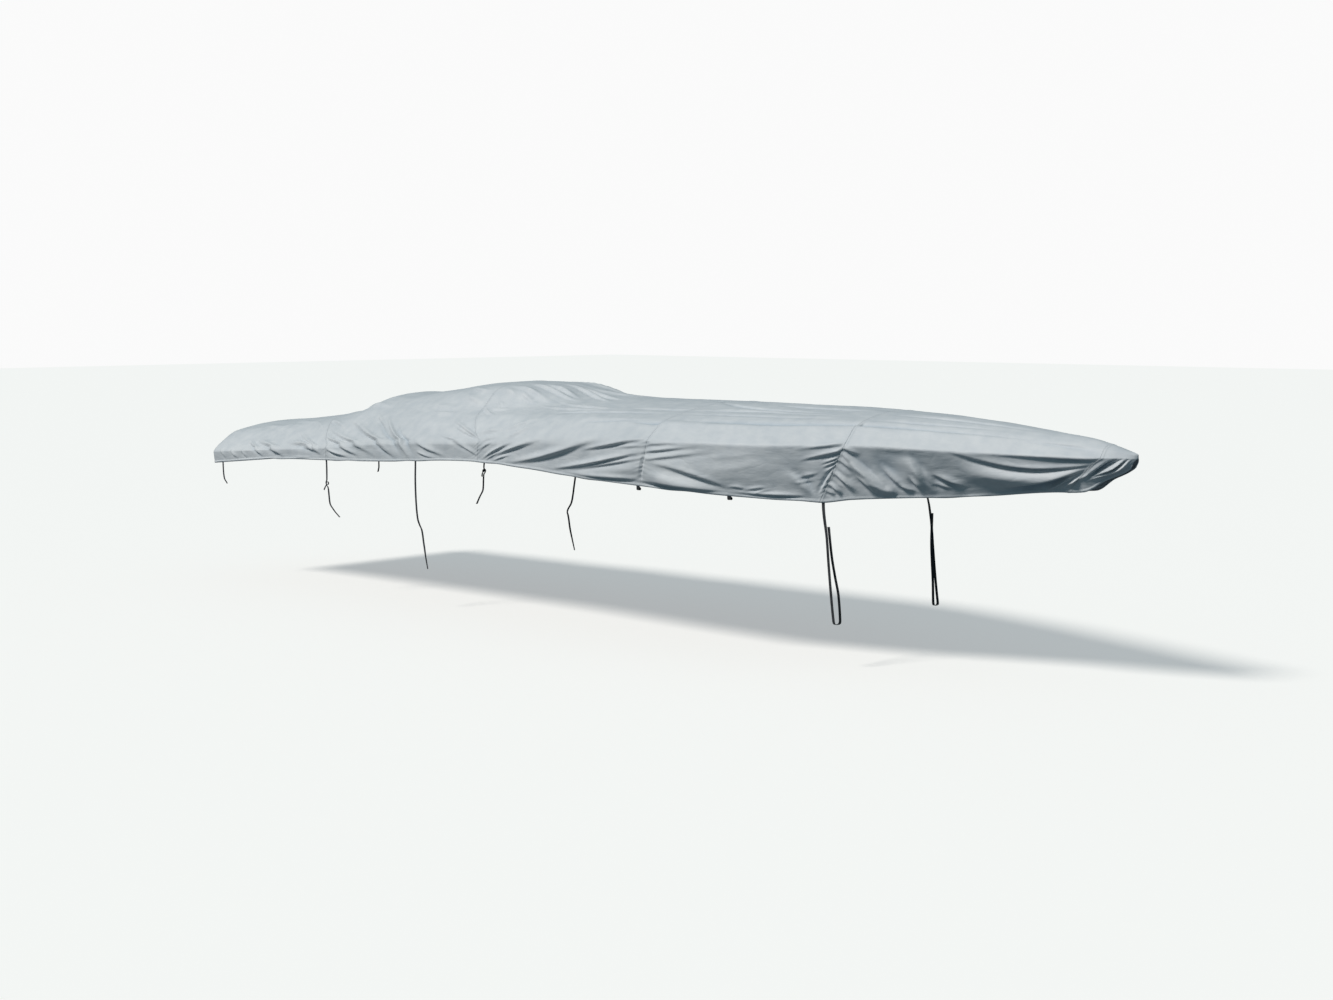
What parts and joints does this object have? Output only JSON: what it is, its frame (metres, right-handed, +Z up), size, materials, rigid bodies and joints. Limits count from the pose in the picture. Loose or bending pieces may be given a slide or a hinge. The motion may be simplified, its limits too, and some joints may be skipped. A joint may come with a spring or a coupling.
{
  "type": "boat cover",
  "caption": "Long fitted cover of sewn woven panels, humped over a raised part, hollow underneath, with webbing straps and empty tab loops hanging from its hem.",
  "frame": {"origin": "on the centre plane, just under the top, halfway along the cover, where the deck that it lies on carries it", "axes": "+X along the cover towards its pointed nose, +Y to the far side, +Z up"},
  "size_m": [11.8046, 2.5224, 2.0552],
  "materials": {
    "cover_fabric": "woven silver-grey polyester with a faint sheen",
    "webbing": "black woven webbing"
  },
  "bodies": {
    "root": {"stern_end": "cover_fabric", "panel_stern": "cover_fabric", "panel_aft": "cover_fabric", "panel_hump": "cover_fabric", "panel_mid": "cover_fabric", "panel_fore": "cover_fabric", "nose_cap": "cover_fabric", "strap_stern_near": "webbing", "strap_knotted_near": "webbing", "strap_tail_near": "webbing", "strap_long_near": "webbing", "strap_loop_near": "webbing", "tab_mid_near": "webbing", "tab_fore_near": "webbing", "strap_stern_far": "webbing", "strap_knotted_far": "webbing", "strap_tail_far": "webbing", "strap_long_far": "webbing", "strap_loop_far": "webbing", "tab_mid_far": "webbing", "tab_fore_far": "webbing"}
  },
  "joints": []
}
